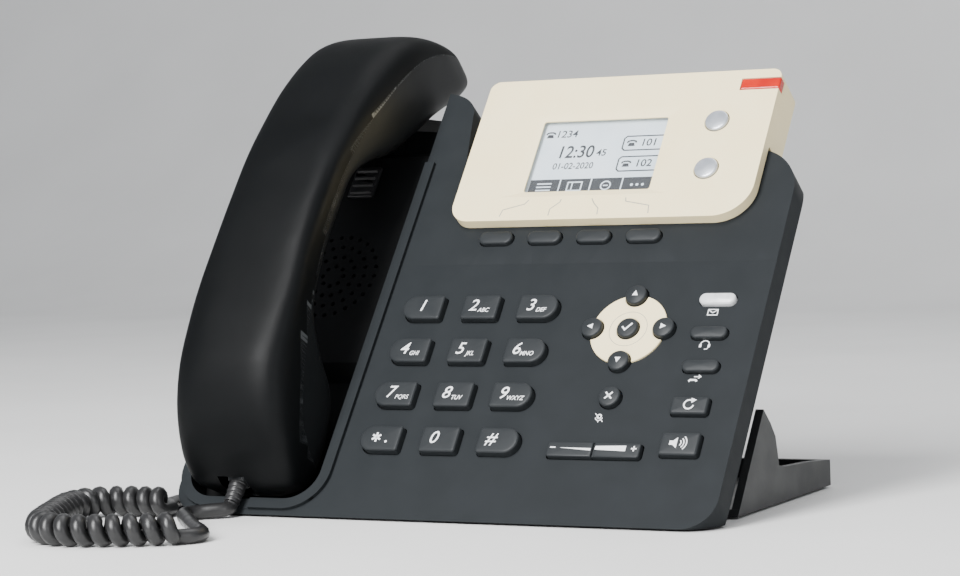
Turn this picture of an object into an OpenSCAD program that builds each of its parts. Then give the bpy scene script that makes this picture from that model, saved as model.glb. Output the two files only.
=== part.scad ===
// Desk IP phone: a leaning body on a clip-on stand, a handset in its cradle,
// a display bezel, thirty keys and a curly handset cord. Millimetres, +Z up,
// +X to the right of the user, the user on the -Y side, origin on the floor
// under the middle of the phone.
//
// Most parts are drawn in the face frame: x across, y up the sloping face,
// z straight out of it, with z = 0 on the face of the front housing.

/* [Body] */
// Width of the phone across both side walls
body_w = 212; // [210:1:214]
// Lean of the face from level, in degrees
face_tilt = 52.5; // [52:0.5:53]
// Wall thickness of the housings
wall = 2.4; // [2.2:0.1:2.5]
// Length of the keypad part of the face
face_len = 152; // [151:1:154]
// Depth of the front housing, from the face to the parting line
front_depth = 9.5; // [9:0.1:9.6]
// Depth of the whole body behind the face
body_depth = 26; // [26:0.5:28]

/* [Display] */
// Width of the display bezel
bezel_w = 119.6; // [118:0.2:120]
// Height of the display bezel up the face
bezel_h = 66.2; // [66:0.2:67]
// Height of the bezel's front above the face
bezel_top = 4.6; // [4.4:0.1:5]
// Width of the visible screen
screen_w = 51; // [49:1:53]
// Height of the visible screen
screen_h = 33; // [31:1:34]

/* [Keys] */
// Distance between the dial key columns
key_pitch_x = 23; // [22.5:0.1:23.2]
// Distance between the dial key rows
key_pitch_y = 18.62; // [18.2:0.02:18.8]
// Height of a dial key up the face
dial_key_h = 10.2; // [9.6:0.1:10.6]
// Height of the dial keys above the face
dial_key_top = 3; // [2.5:0.1:3.5]
// How far a key travels when it is pressed
key_travel = 1.2; // [0.8:0.1:1.2]
// Gap between a key and the edge of its hole
key_gap = 0.35; // [0.3:0.05:0.4]

/* [Handset] */
// Place of the handset's middle plane, across the body
handset_x = -76; // [-76.5:0.5:-75.5]
// Wall thickness of the handset shells
shell = 2.2; // [2:0.1:2.4]
// How far the hook switch rises when the handset is lifted
hook_rise = 3; // [2:0.5:3]

/* [Stand] */
// Half the width over the stand's side walls
stand_half_w = 102; // [101:0.5:102]
// Height of the rubber feet below the plastic
foot_h = 0.8; // [0.6:0.1:0.8]

/* [Cord] */
// Diameter of the cord's wire
wire_d = 5.2; // [4.8:0.1:5.3]
// Outer diameter of the curly part
curl_d = 11.2; // [11:0.1:11.5]

/* [Hidden] */
$fn = 48;
eps = 0.1;
half_w = body_w / 2;
// The face plane meets the vertical plane y = -depth_shift at face_z.
face_z = 5;
depth_shift = 64.84;
left_in = -45.1;      // right end of the solid handset side of the body
bottom_v = -5;        // lower edge of the face
corner_r = 12;        // lower corners of the body
top_corner_r = 20;    // upper right corner of the body
cradle_top = 194;     // upper edge of the cradle
well = [-102, -47.5]; // side walls of the handset well
well_v = 1;           // lower end wall of the well
bezel_x = -27;
bezel_v = 119;
bezel_skirt = 12;     // depth of its sides, above the keypad part
screen_x = 0;
screen_v = 133;
flange_top = -2.8;    // retaining flange of the keys, under the housing
flange_t = 1;
flange_grow = 0.9;
// The silicone mat lies just under a key that is pressed right down.
mat_top = flange_top - flange_t - key_travel - 0.3;
mat_t = 1.5;
board_top = -6.9;
board_t = 1.6;
nav_c = [56.9, 73.5]; // middle of the navigation disc
nav_ring = 13.76;     // its arrow keys lie on this radius
nav_r = 14.3;
right_col = 88;       // middle of the right column of keys
rocker_c = [56.7, 23.6];
rocker_size = [35, 5.8];
grille_c = [handset_x, 102];
grille_r = 21.5;
hook_c = [handset_x, 170];
tab_c = [handset_x, 146];
socket_x = handset_x - 2;
socket_w = 4;
jack_x = [-83, -68];  // handset and headset jacks
jack_w = -18.8;
jack_v = 60;          // mouth of every jack, at the top of its pocket
net_x = [44, 62];
power_x = 80;
screw_at = [[77.6, 98], [-14.8, 99], [-14.8, 35.45], [-90, 130]];
boss_r = 2.6;
back_cut = 11;        // how far the back face lies inside the outline

// name, outline, x, y, width, height, top above the face
dial_col = [-27, -3.25, 19.9];
dial_w = [16.2, 14.7, 15.8];
dial_kind = ["round_left", "plain", "round_right"];
dial_name = ["key_1", "key_2", "key_3", "key_4", "key_5", "key_6",
             "key_7", "key_8", "key_9", "key_star", "key_0", "key_hash"];
DIAL = [for (i = [0:11]) [dial_name[i], dial_kind[i % 3],
        dial_col[1] + (dial_col[i % 3] - dial_col[1]) * key_pitch_x / 23,
        82 - floor(i / 3) * key_pitch_y,
        dial_w[i % 3], dial_key_h, dial_key_top]];
SOFT = [for (i = [0:3]) [str("soft_key_", i + 1), "pill",
        -6.6 + 19.84 * i, 113.6, 13.7, 5.5, 2]];
ARROWS = ["nav_right", "nav_up", "nav_left", "nav_down"];
NAV = [for (i = [0:3]) [ARROWS[i], "pill",
       nav_c[0] + nav_ring * cos(90 * i), nav_c[1] + nav_ring * sin(90 * i),
       8, 8, 2.6]];
SINGLE = [["nav_ok", "pill", nav_c[0], nav_c[1], 8, 8, 2.2],
          ["cancel_key", "pill", 57.3, 45, 8, 8, 2.4],
          ["message_key", "pill", right_col, 85.8, 13.7, 4.8, 2],
          ["headset_key", "pill", right_col, 71.7, 13.7, 4.8, 2],
          ["transfer_key", "pill", right_col, 58, 13.7, 4.8, 2],
          ["redial_key", "plain", right_col, 41.7, 13.7, 6.8, 2.4],
          ["speaker_key", "plain", right_col, 26.4, 14.3, 8.9, 2.6]];
KEYS = concat(DIAL, SOFT, NAV, SINGLE);
LINES = [["line_key_1", 71.7, 161.8], ["line_key_2", 72.4, 140.2]];
line_r = 4.5;

// A point of the face frame, in the phone's own frame.
function on_face_point(p) = [p[0],
  p[1] * cos(face_tilt) - p[2] * sin(face_tilt) - depth_shift,
  p[1] * sin(face_tilt) + p[2] * cos(face_tilt) + face_z];

// Cord routes: points chosen along the floor, measured from the face plane's
// foot line. Each lead starts at the end of its plug.
lead_route = [[-78.6, -8.6, 3.2], [-82.3, -11.3, 3], [-86.2, -14, 2.7],
  [-88.2, -18.5, 2.7], [-85.5, -24, 2.7], [-78.5, -32, 2.7], [-70, -42, 2.7],
  [-62, -51, 2.7], [-55.5, -57.5, 2.7], [-52.6, -62, 2.7],
  [-53.2, -66.8, 2.7], [-57, -70.5, 2.7]];
coil_route = [[-57, -70.5], [-66, -75.5], [-77, -80], [-89, -83],
  [-99.5, -81.8], [-107.5, -76], [-114.5, -64], [-120.8, -51], [-127, -38],
  [-130.5, -27], [-128.5, -17.5], [-121, -12.5], [-111.5, -11.8],
  [-101.5, -12]];
base_route = [[-101.5, -12, 2.7], [-101.9, -7.6, 2.7], [-106, -3.6, 2.7],
  [-109.8, 2.5, 2.7], [-111.5, 10, 2.7], [-111.8, 22, 2.7], [-111.8, 34, 2.7],
  [-111.8, 46, 2.7], [-111.8, 58, 2.9], [-111.2, 68, 5.3], [-108, 76, 10.3],
  [-103, 79, 15.7], [-97, 75.5, 16], [-92.5, 64, 15], [-88.5, 52, 14],
  [-85, 42.5, 14.8], [-83.4, 38, 18.4], [-83, 37.6, 22]];

plug_end = [for (v = [-3.05, -4.6]) on_face_point([socket_x, v, socket_w])];
base_end = [for (v = [40, 41.95]) on_face_point([jack_x[0], v, jack_w])];

function to_floor(route) = [for (p = route)
  [p[0], p[1] - depth_shift, len(p) > 2 ? p[2] : curl_d / 2]];
function unit(v) = v / norm(v);
function tangent(route, i) = unit(route[min(i + 1, len(route) - 1)]
                                  - route[max(i - 1, 0)]);
// One ring of the tube round point i of a route.
function ring(route, i, d, sides) =
  let (t = tangent(route, i), n = unit(cross([0, 0, 1], t)), b = cross(t, n))
  [for (k = [0:sides - 1]) let (a = 360 * k / sides)
    route[i] + d / 2 * (cos(a) * n + sin(a) * b)];

module tube(route, d, sides) {
  rings = len(route);
  points = [for (i = [0:rings - 1]) each ring(route, i, d, sides)];
  skin = [for (i = [0:rings - 2], k = [0:sides - 1])
          let (a = i * sides, m = (k + 1) % sides)
          each [[a + k, a + sides + k, a + sides + m],
                [a + k, a + sides + m, a + m]]];
  first = [for (k = [0:sides - 1]) k];
  last = [for (k = [sides - 1:-1:0]) (rings - 1) * sides + k];
  polyhedron(points, concat([first, last], skin), 6);
}

// Handset sections, from the mouth end to the ear end: a point of the back
// and the facing point of the front, each [up the face, out of it], then the
// half width. They follow the handset's side view.
SECTIONS = [
  [[3.8, 1], [6.5, -5.5], 15], [[3.6, 6.5], [10.5, -8], 20.3],
  [[6, 13.8], [17, -9.2], 22.6], [[11, 22.5], [28, -9.4], 23.6],
  [[20.5, 32.2], [38, -8.4], 23.8], [[33.5, 39.3], [47, -3], 23.6],
  [[49, 42.6], [54, 11], 22.8], [[64, 44.2], [64, 23.5], 21.9],
  [[84, 46], [84, 27.8], 20.8], [[104, 46.6], [104, 28.6], 20.6],
  [[124, 46], [122, 28], 20.9], [[142, 44], [135, 20], 21.6],
  [[159, 40.8], [148, 8.5], 22.7], [[175.5, 35.4], [163, -0.5], 23.3],
  [[188.5, 28.7], [179, -7.2], 23.3], [[198.5, 19.7], [192, -13.2], 22.9],
  [[205.5, 9], [201, -19.5], 22], [[210, -1.5], [206.5, -21], 20.3],
  [[212.5, -9.5], [210, -18.8], 16]];
// The seam between the two shells, in the same side view.
SEAM = [[212, -14], [208.7, -8.3], [200, 5.2], [190.5, 14.7], [180, 21.3],
  [166, 27.2], [148, 33], [124, 36.5], [98, 35.4], [60, 29.5], [40, 23.5],
  [28.7, 17.7], [23.8, 13.3], [19, 5.6], [16.5, -3]];
section_sides = 28;

function power(x, e) = sign(x) * pow(abs(x), e);
function section(s, inset) =
  let (axis = s[0] - s[1], mid = (s[0] + s[1]) / 2,
       half = norm(axis) / 2 - inset, dir = unit(axis))
  [for (k = [0:section_sides - 1]) let (a = 360 * k / section_sides)
    [handset_x - (s[2] - inset) * power(cos(a), 0.46),
     mid[0] + dir[0] * half * power(sin(a), 0.46),
     mid[1] + dir[1] * half * power(sin(a), 0.46)]];

module handset_form(inset, first, last) {
  points = [for (i = [first:last]) each section(SECTIONS[i], inset)];
  rings = last - first + 1;
  n = section_sides;
  skin = [for (i = [0:rings - 2], k = [0:n - 1])
          let (a = i * n, m = (k + 1) % n)
          each [[a + k, a + n + k, a + n + m], [a + k, a + n + m, a + m]]];
  ends = [[for (k = [0:n - 1]) k], [for (k = [n - 1:-1:0]) (rings - 1) * n + k]];
  polyhedron(points, concat(ends, skin), 6);
}

module handset_shell() {
  difference() {
    handset_form(0, 0, len(SECTIONS) - 1);
    handset_form(shell, 1, len(SECTIONS) - 2);
    socket_box(0.2, -20);
  }
}

module on_face() {
  translate([0, -depth_shift, face_z]) rotate([face_tilt, 0, 0]) children();
}

// A profile given as [up the face, out of it], extruded across from x0 to x1.
module across(x0, x1) {
  translate([x0, 0, 0]) rotate([90, 0, 90]) linear_extrude(x1 - x0) children();
}

module above_floor(z) {
  intersection() {
    children();
    translate([-200, -200, z]) cube([400, 400, 300]);
  }
}

// Everything above the level inside floor, in the face frame.
module inside_floor() {
  rotate([-face_tilt, 0, 0])
    translate([-200, -200, foot_h + wall - face_z]) cube([400, 600, 300]);
}

module box(x0, x1, y0, y1, z0, z1) {
  translate([x0, y0, z0]) cube([x1 - x0, y1 - y0, z1 - z0]);
}

module rounded(w, h, r) {
  square([w - 2 * r, h], center = true);
  square([w, h - 2 * r], center = true);
  for (x = [-1, 1], y = [-1, 1])
    translate([x * (w / 2 - r), y * (h / 2 - r)]) circle(r);
}

module rounded_box(x0, x1, y0, y1, z0, z1, r) {
  translate([(x0 + x1) / 2, (y0 + y1) / 2, z0])
    linear_extrude(z1 - z0) rounded(x1 - x0, y1 - y0, r);
}

// Outlines of the body in the face plane, moved inwards by i.
module left_outline(i) {
  polygon([[-half_w + i, bottom_v + corner_r], [-half_w + i, cradle_top - 16],
           [-90, cradle_top - i], [-50, cradle_top - i],
           [-34 - i, cradle_top - 16], [-30.5 - i, face_len - 1],
           [-30.5 - i, bottom_v + i], [-half_w + corner_r, bottom_v + i]]);
  for (x = [-90, -50]) translate([x, cradle_top - 16]) circle(16 - i);
  translate([-half_w + corner_r, bottom_v + corner_r]) circle(corner_r - i);
}

module right_outline(i) {
  polygon([[-45, bottom_v + i], [half_w - corner_r, bottom_v + i],
           [half_w - i, bottom_v + corner_r],
           [half_w - i, face_len - top_corner_r],
           [half_w - top_corner_r, face_len - i], [-45, face_len - i]]);
  translate([half_w - corner_r, bottom_v + corner_r]) circle(corner_r - i);
  translate([half_w - top_corner_r, face_len - top_corner_r])
    circle(top_corner_r - i);
}

module body_outline(i) {
  left_outline(i);
  right_outline(i);
}

module bezel_outline(i) {
  x1 = bezel_x + bezel_w;
  y1 = bezel_v + bezel_h;
  polygon([[bezel_x + i, bezel_v + 8], [bezel_x + i, y1 - 4],
           [bezel_x + 4, y1 - i], [x1 - 4, y1 - i], [x1 - i, y1 - 4],
           [x1 - i, bezel_v + 14], [x1 - 14, bezel_v + i],
           [bezel_x + 8, bezel_v + i]]);
  translate([bezel_x + 8, bezel_v + 8]) circle(8 - i);
  translate([x1 - 14, bezel_v + 14]) circle(14 - i);
  for (x = [bezel_x + 4, x1 - 4]) translate([x, y1 - 4]) circle(4 - i);
}

// The part of the rear housing behind the display, above the keypad face.
module display_outline(i) {
  translate([bezel_x + bezel_w / 2, 161])
    rounded(bezel_w - 4 - 2 * i, 44 - 2 * i, 4);
}

// Space of the handset well: its floor profile, lowered by d, and all above.
module well_profile(d) {
  polygon([[well_v - d, -10.5 - d], [57 - d / 2, -10.5 - d],
           [63 - d / 2, -5.5 - d], [158 + d / 2, -5.5 - d],
           [164 + d / 2, -10 - d], [178 - d / 4, -10 - d],
           [201 - d / 2, -23.5 - d], [230, -23.5 - d], [230, 40],
           [well_v - d, 40]]);
}

module well_plan(grow) {
  x0 = well[0] - grow;
  x1 = well[1] + grow;
  y0 = well_v - grow;
  r = 12 + grow;
  polygon([[x0, y0 + r], [x0, 230], [x1, 230], [x1, y0 + r],
           [x1 - r, y0], [x0 + r, y0]]);
  for (x = [x0 + r, x1 - r]) translate([x, y0 + r]) circle(r);
}

module well_space() {
  intersection() {
    across(well[0], well[1]) well_profile(0);
    translate([0, 0, -40]) linear_extrude(90) well_plan(0);
  }
}

// Outline of a key, grown on every side by g.
module key_outline(kind, w, h, g) {
  W = w + 2 * g;
  H = h + 2 * g;
  small = min(1.2 + g, H / 2 - 0.01);
  left = kind == "round_left" ? H / 2 - 0.01 : small;
  right = kind == "round_right" ? H / 2 - 0.01 : small;
  if (kind == "pill" && w == h) circle(W / 2);
  else if (kind == "pill") {
    square([W - H, H], center = true);
    for (x = [-1, 1]) translate([x * (W - H) / 2, 0]) circle(H / 2);
  } else {
    translate([left - W / 2, -H / 2]) square([W - left - right, H]);
    translate([-W / 2, left - H / 2]) square([left, H - 2 * left]);
    translate([W / 2 - right, right - H / 2]) square([right, H - 2 * right]);
    for (y = [-1, 1]) {
      translate([left - W / 2, y * (H / 2 - left)]) circle(left);
      translate([W / 2 - right, y * (H / 2 - right)]) circle(right);
    }
  }
}

module key(k) {
  color(k[0] == "message_key" ? "gainsboro" : "darkslategray") on_face()
  translate([k[2], k[3], 0]) {
    translate([0, 0, flange_top])
      linear_extrude(k[6] - flange_top) key_outline(k[1], k[4], k[5], 0);
    translate([0, 0, flange_top - flange_t])
      linear_extrude(flange_t) key_outline(k[1], k[4], k[5], flange_grow);
  }
}

module line_key(k) {
  color("silver") on_face() translate([k[1], k[2], 0]) {
    translate([0, 0, -3.8]) cylinder(h = bezel_top + 5, r = line_r - 1.2);
    translate([0, 0, 0.9]) cylinder(h = bezel_top + 0.3, r = line_r);
    translate([0, 0, 0.9]) cylinder(h = 1, r = line_r + 0.9);
  }
}

module volume_rocker() {
  color("darkslategray") on_face() translate(rocker_c) {
    translate([0, 0, -3.4]) linear_extrude(5.4)
      key_outline("plain", rocker_size[0], rocker_size[1], 0);
    translate([0, 0, -4.2]) linear_extrude(0.8)
      key_outline("plain", rocker_size[0] + 1.4, rocker_size[1] + 1.4, 0);
  }
}

module key_holes(g) {
  for (k = KEYS) translate([k[2], k[3], 0]) key_outline(k[1], k[4], k[5], g);
  translate(rocker_c)
    key_outline("plain", rocker_size[0] + 0.4, rocker_size[1], g);
}

module grille_holes() {
  for (ring = [1:4], i = [0:6 * ring + 1])
    translate([grille_c[0], grille_c[1], 0])
      rotate(360 * i / (6 * ring + 2)) translate([4.5 * ring, 0, -9])
        cylinder(h = 5, r = 0.9, $fn = 16);
}

module front_housing() {
  color("darkslategray") above_floor(foot_h) on_face() {
    difference() {
      union() {
        translate([0, 0, -front_depth]) linear_extrude(front_depth)
          body_outline(0);
        intersection() {
          across(-103.4, left_in) well_profile(wall);
          box(-120, 0, bottom_v + 0.5, cradle_top, -30, -front_depth + eps);
        }
        intersection() {
          linear_extrude(1.5) difference() {
            well_plan(4);
            well_plan(0);
          }
          box(-half_w, 0, bottom_v + 0.4, 150, 0, 2);
        }
      }
      well_space();
      intersection() {
        translate([0, 0, -front_depth - eps])
          linear_extrude(front_depth - wall + eps) difference() {
            body_outline(wall);
            translate([-half_w, -20]) square([half_w + left_in, 230]);
            for (s = screw_at) translate(s) circle(boss_r);
          }
        inside_floor();
      }
      translate([0, 0, -wall - 1]) linear_extrude(wall + 2)
        key_holes(key_gap);
      translate([nav_c[0], nav_c[1], -0.8]) cylinder(h = 2, r = nav_r + 0.2);
      box(-10, 60, 128, 160, -20, 1);
      box(-22, 88, 148, 160, -20, -5);
      for (k = LINES) translate([k[1], k[2], -5]) cylinder(h = 6, r = 6.2);
      translate([grille_c[0], grille_c[1], -30]) cylinder(h = 22.1, r = grille_r);
      grille_holes();
      rounded_box(hook_c[0] - 6.9, hook_c[0] + 6.9, hook_c[1] - 3.4,
                  hook_c[1] + 3.4, -20, 0, 1.5);
      box(tab_c[0] - 5.7, tab_c[0] + 5.7, tab_c[1] - 7.2, tab_c[1] + 7.2,
          -6.5, 0);
      box(socket_x - 5, socket_x + 5, -12, 3, 0.3, 6);
      for (s = screw_at) translate([s[0], s[1], -20])
        cylinder(h = s[0] > -80 ? 16 : 13.2, r = 1.5);
    }
  }
}

// An outline given as a child, from the back face up to top, drawn in
// towards the back along its two sides and its upper edge.
module drafted(x0, x1, y1, top, back, i) {
  start = -10;
  cut = back_cut;
  intersection() {
    translate([0, 0, i - back]) linear_extrude(top + back - i) children();
    translate([0, 250, 0]) rotate([90, 0, 0]) linear_extrude(300)
      polygon([[x0 + i, 0], [x0 + i, start], [x0 + i + cut, -back],
               [x1 - i - cut, -back], [x1 - i, start], [x1 - i, 0]]);
    across(-120, 120) polygon([[-40, -back], [y1 - i - cut, -back],
                               [y1 - i, start], [y1 - i, 0], [-40, 0]]);
  }
}

// The rear housing's outer form, or with i its inside.
module rear_shell(i) {
  drafted(-half_w, 60, cradle_top + back_cut, -front_depth, body_depth, i)
    left_outline(i);
  drafted(-50 - half_w, half_w, face_len, -front_depth, body_depth, i)
    right_outline(i);
  drafted(-25, 90.6, 183, -bezel_skirt - 0.3, body_depth - 3, i)
    display_outline(i);
}

module pocket(x0, x1, ceiling, t) {
  box(x0 - t, x1 + t, 30 - t, jack_v + t, -body_depth - 1, ceiling + t);
}

module rear_housing() {
  color("dimgray") above_floor(foot_h) on_face() difference() {
    union() {
      difference() {
        rear_shell(0);
        intersection() {
          rear_shell(wall);
          inside_floor();
        }
      }
      intersection() {
        rear_shell(0);
        union() {
          pocket(-92, -60, -15.2, 2.1);
          pocket(33, 91, -12, 2.1);
        }
      }
      for (s = screw_at) translate([s[0], s[1], 0.5 - body_depth])
        cylinder(h = body_depth - 10.2, r = 4.2);
    }
    across(-103.6, left_in + 0.2) well_profile(wall + 0.15);
    box(-30, 95, 130, face_len + 0.15, -front_depth, 0);
    pocket(-92, -60, -15.2, 0);
    pocket(33, 91, -12, 0);
    for (x = jack_x) box(x - 6.4, x + 6.4, 50, 70, -23.1, -14.5);
    for (x = net_x) box(x - 8.2, x + 8.2, 50, 78, -22.7, -8);
    box(power_x - 5.2, power_x + 5.2, 50, 78, -20.2, -8);
    for (s = screw_at) translate([s[0], s[1], -body_depth - 1]) {
      cylinder(h = 30, r = 1.6);
      cylinder(h = 5, r = 3);
    }
    for (x = [-20, 20]) box(x - 4.4, x + 4.4, 77.5, 83.5, -30, -20);
    for (i = [-3:3]) box(16 * i - 5, 16 * i + 5, 112, 114.5, -30, -20);
    for (i = [-3:3]) box(16 * i - 5, 16 * i + 5, 119, 121.5, -30, -20);
  }
}

// Cross-section of the sloping surround of the screen.
module funnel(low_c, low, high_c, high) {
  polygon([[low_c - low, 2.9], [low_c + low, 2.9],
           [high_c + high, bezel_top], [high_c + high, 9],
           [high_c - high, 9], [high_c - high, bezel_top]]);
}

module display_bezel() {
  x1 = bezel_x + bezel_w;
  y1 = bezel_v + bezel_h;
  sx = screen_x + screen_w / 2;
  sy = screen_v + screen_h / 2;
  color("oldlace") on_face() difference() {
    union() {
      translate([0, 0, 0.3]) linear_extrude(bezel_top - 0.3) bezel_outline(0);
      intersection() {
        translate([0, 0, -bezel_skirt]) linear_extrude(bezel_skirt + 1)
          bezel_outline(0);
        box(bezel_x, x1, face_len + 0.3, y1, -20, 2);
      }
    }
    translate([0, 0, 0.2]) linear_extrude(2.2) bezel_outline(2.2);
    intersection() {
      translate([0, 0, -20]) linear_extrude(21) bezel_outline(2.2);
      box(bezel_x, x1, face_len + 0.2, y1, -20, 2);
    }
    intersection() {
      across(-20, 80) funnel(sy, screen_h / 2, sy + 0.9, screen_h / 2 + 4.3);
      translate([0, 200, 0]) rotate([90, 0, 0]) linear_extrude(100)
        funnel(sx, screen_w / 2, sx - 0.3, screen_w / 2 + 7.8);
    }
    translate([sx, sy, 0]) linear_extrude(9) rounded(screen_w, screen_h, 1);
    for (k = LINES) translate([k[1], k[2], 0]) cylinder(h = 9, r = line_r + 0.35);
    box(77.3, x1 + 1, 175.8, 181.2, 0.8, 9);
  }
}

module display_window() {
  color("lightsteelblue", 0.5) on_face()
    rounded_box(screen_x - 3, screen_x + screen_w + 3, screen_v - 3,
                screen_v + screen_h + 3, 0.9, 2.3, 1);
}

module lcd_module() {
  color("lightgray") on_face() {
    box(screen_x - 4, screen_x + screen_w + 4, screen_v - 4,
        screen_v + screen_h + 4, -4, 0.7);
    box(screen_x, screen_x + screen_w, screen_v, screen_v + screen_h,
        board_top + 0.1, -4);
  }
}

module message_lamp() {
  color("orangered") on_face() {
    rounded_box(77.5, bezel_x + bezel_w + 0.2, 176, 181, 1, bezel_top + 0.2, 0.6);
    translate([82, 178.5, board_top + 0.1]) cylinder(h = 8.5, r = 1.6);
  }
}

module nav_plate() {
  color("oldlace") on_face() translate([nav_c[0], nav_c[1], 0]) difference() {
    translate([0, 0, -0.75]) cylinder(h = 1.45, r = nav_r);
    for (k = [0:3]) rotate(90 * k) translate([nav_ring, 0, -2])
      cylinder(h = 5, r = 4 + key_gap);
    translate([0, 0, -2]) cylinder(h = 5, r = 4 + key_gap);
  }
}

module hook_switch() {
  color("black") on_face() translate([hook_c[0], hook_c[1], 0]) {
    rounded_box(-6.5, 6.5, -3, 3, -16, -5.4, 1.2);
    rounded_box(-8.5, 8.5, -4.5, 4.5, -13.9 - hook_rise, -12.9 - hook_rise, 1);
  }
}

module hook_tab() {
  color("black") on_face() translate([tab_c[0], tab_c[1], 0]) {
    box(-5.5, 5.5, -7, 7, -6.4, -4.4);
    for (i = [-1.5:1.5]) box(-4.5, 4.5, 3.4 * i - 0.6, 3.4 * i + 0.6, -4.4, -3.6);
  }
}

module loudspeaker() {
  color("gray") on_face() translate([grille_c[0], grille_c[1], 0])
    rotate_extrude() polygon([[0, -11], [6, -11], [17, -8.1], [grille_r - 0.6, -8.1],
      [grille_r - 0.6, -10], [14, -15], [11, -15.5], [11, -20], [0, -20]]);
}

module keypad_mat() {
  color("lightgray") on_face() difference() {
    union() {
      rounded_box(-40, 94, 10, 124, mat_top - mat_t, mat_top, 3);
      rounded_box(64, 80, 110, 168, mat_top - mat_t, mat_top, 3);
    }
    for (s = screw_at) translate([s[0], s[1], -20])
      cylinder(h = 30, r = boss_r + 0.4);
  }
}

module main_board() {
  color("darkgreen") on_face() difference() {
    union() {
      rounded_box(-43, 95, 8, 144, board_top - board_t, board_top, 2);
      rounded_box(-20, 86, 130, 178, board_top - board_t, board_top, 2);
    }
    for (s = screw_at) translate([s[0], s[1], -20])
      cylinder(h = 30, r = boss_r + 0.4);
  }
}

module network_jacks() {
  color("silver") on_face() for (x = net_x) difference() {
    box(x - 8, x + 8, jack_v + 0.2, 77, -22.5, board_top - board_t - 0.1);
    box(x - 5.9, x + 5.9, jack_v - 1, 73, -19.5, -11.5);
    box(x - 3.2, x + 3.2, jack_v - 1, 73, -21, -19);
  }
}

module power_jack() {
  color("black") on_face() translate([power_x, 0, -14.3]) difference() {
    union() {
      box(-5, 5, jack_v + 0.2, 74, -5.7, 5.7);
      translate([0, 73, 0]) rotate([90, 0, 0]) cylinder(h = 5, r = 1);
    }
    translate([0, 70, 0]) rotate([90, 0, 0]) difference() {
      cylinder(h = 12, r = 2.9);
      cylinder(h = 8.5, r = 0.95);
    }
  }
}

module handset_jacks() {
  color("black") on_face() for (x = jack_x) difference() {
    box(x - 6.2, x + 6.2, jack_v + 0.2, 74, -22.9, -14.7);
    box(x - 3.5, x + 3.5, jack_v - 1, 72, jack_w - 3.5, jack_w + 3.4);
  }
}

module stand_side() {
  back = [for (v = [17, 58]) [v * cos(face_tilt) + 26.4 * sin(face_tilt),
                              face_z + v * sin(face_tilt) - 26.4 * cos(face_tilt)]];
  polygon([[28.5, foot_h], [121, foot_h], [121, 10.3], [100, 11.8],
           [76, 12.8], [69.4, 14], [68.6, 18], [66.8, 24.5], [62.5, 29.5],
           back[1], back[0]]);
}

module stand() {
  color("black") translate([0, -depth_shift, 0]) {
    difference() {
      union() {
        for (x = [-stand_half_w, stand_half_w - 3]) across(x, x + 3) stand_side();
        box(-stand_half_w, stand_half_w, 30, 121, foot_h, 3.2);
        box(-stand_half_w, stand_half_w, 118.5, 121, foot_h, 10.3);
        for (x = [-34, 31.6]) across(x, x + 2.4) polygon([[36, 3], [110, 3],
          [108, 8], [80, 44], [72.6, 50]]);
      }
      translate([0, depth_shift, 0]) on_face()
        box(-110, 110, -20, 200, -26.3, 40);
    }
    translate([0, depth_shift, 0]) on_face() {
      rounded_box(-36, 36, 20, 92, -29.4, -26.4, 3);
      for (x = [-20, 20]) {
        box(x - 4, x + 4, 78, 81, -29, -22);
        box(x - 4, x + 4, 78, 83, -23.2, -22);
      }
    }
  }
}

module rubber_feet() {
  color("black") translate([0, -depth_shift, 0]) {
    for (x = [-80, 80]) translate([x, 14, 0]) cylinder(h = foot_h, r = 5);
    for (x = [-92, 92], y = [42, 111]) translate([x, y, 0])
      cylinder(h = foot_h, r = 6);
  }
}

module housing_screws() {
  color("silver") on_face() for (s = screw_at) translate([s[0], s[1], 0]) {
    translate([0, 0, -22]) cylinder(h = s[0] > -80 ? 17 : 14.6, r = 1.4);
    translate([0, 0, -24]) cylinder(h = 2, r = 2.7);
  }
}

module socket_box(g, v0) {
  box(socket_x - 5.5 - g, socket_x + 5.5 + g, v0, 21 + g,
      socket_w - 7 - g, socket_w + 5.6 + g);
}

module handset_back_shell() {
  color("dimgray") on_face() intersection() {
    handset_shell();
    across(-110, -40) polygon(concat([[16, -30], [-10, -30], [-10, 70],
      [230, 70], [230, -14]], SEAM));
  }
}

module handset_front_shell() {
  color("black") on_face() difference() {
    handset_shell();
    across(-110, -40) polygon(concat([[16, -31], [-10, -31], [-10, 70],
      [230, 70], [230, -14.1]], [for (p = SEAM) p - [0, 0.1]]));
  }
}

module handset_receiver() {
  color("gray") on_face() translate([handset_x, 178, -2.5])
    rotate([-23.5, 0, 0]) cylinder(h = 7, r = 14);
}

module handset_microphone() {
  color("gray") on_face() translate([handset_x, 27, -6.5]) cylinder(h = 5, r = 4.8);
}

module handset_weight() {
  color("gray") on_face()
    rounded_box(handset_x - 12, handset_x + 12, 78, 122, 33, 39, 1);
}

module handset_socket() {
  color("black") on_face() difference() {
    socket_box(0, 7.4);
    box(socket_x - 3.5, socket_x + 3.5, 0, 19.5, socket_w - 3.5, socket_w + 3.5);
  }
}

// A modular plug lying along the face, its boot towards the cord.
module plug(x, v0, w, body_len) {
  translate([x, v0, w]) {
    box(-3.2, 3.2, 8, 8 + body_len, -3.1, 3.1);
    translate([0, 8, 0]) rotate([90, 0, 0])
      cylinder(h = 8, r1 = 3, r2 = wire_d / 2 + 0.2);
  }
}

module handset_plug() {
  color("black") on_face() plug(socket_x, -3, socket_w, 14);
}

module base_plug() {
  color("black") on_face() plug(jack_x[0], 42, jack_w, 20);
}

module cord_handset_lead() {
  color("black") tube(concat(plug_end, to_floor(lead_route)), wire_d, 8);
}

module cord_coil() {
  color("black") tube(to_floor(coil_route), curl_d, 10);
}

module cord_base_lead() {
  color("black") tube(concat(to_floor(base_route), base_end), wire_d, 8);
}

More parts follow.
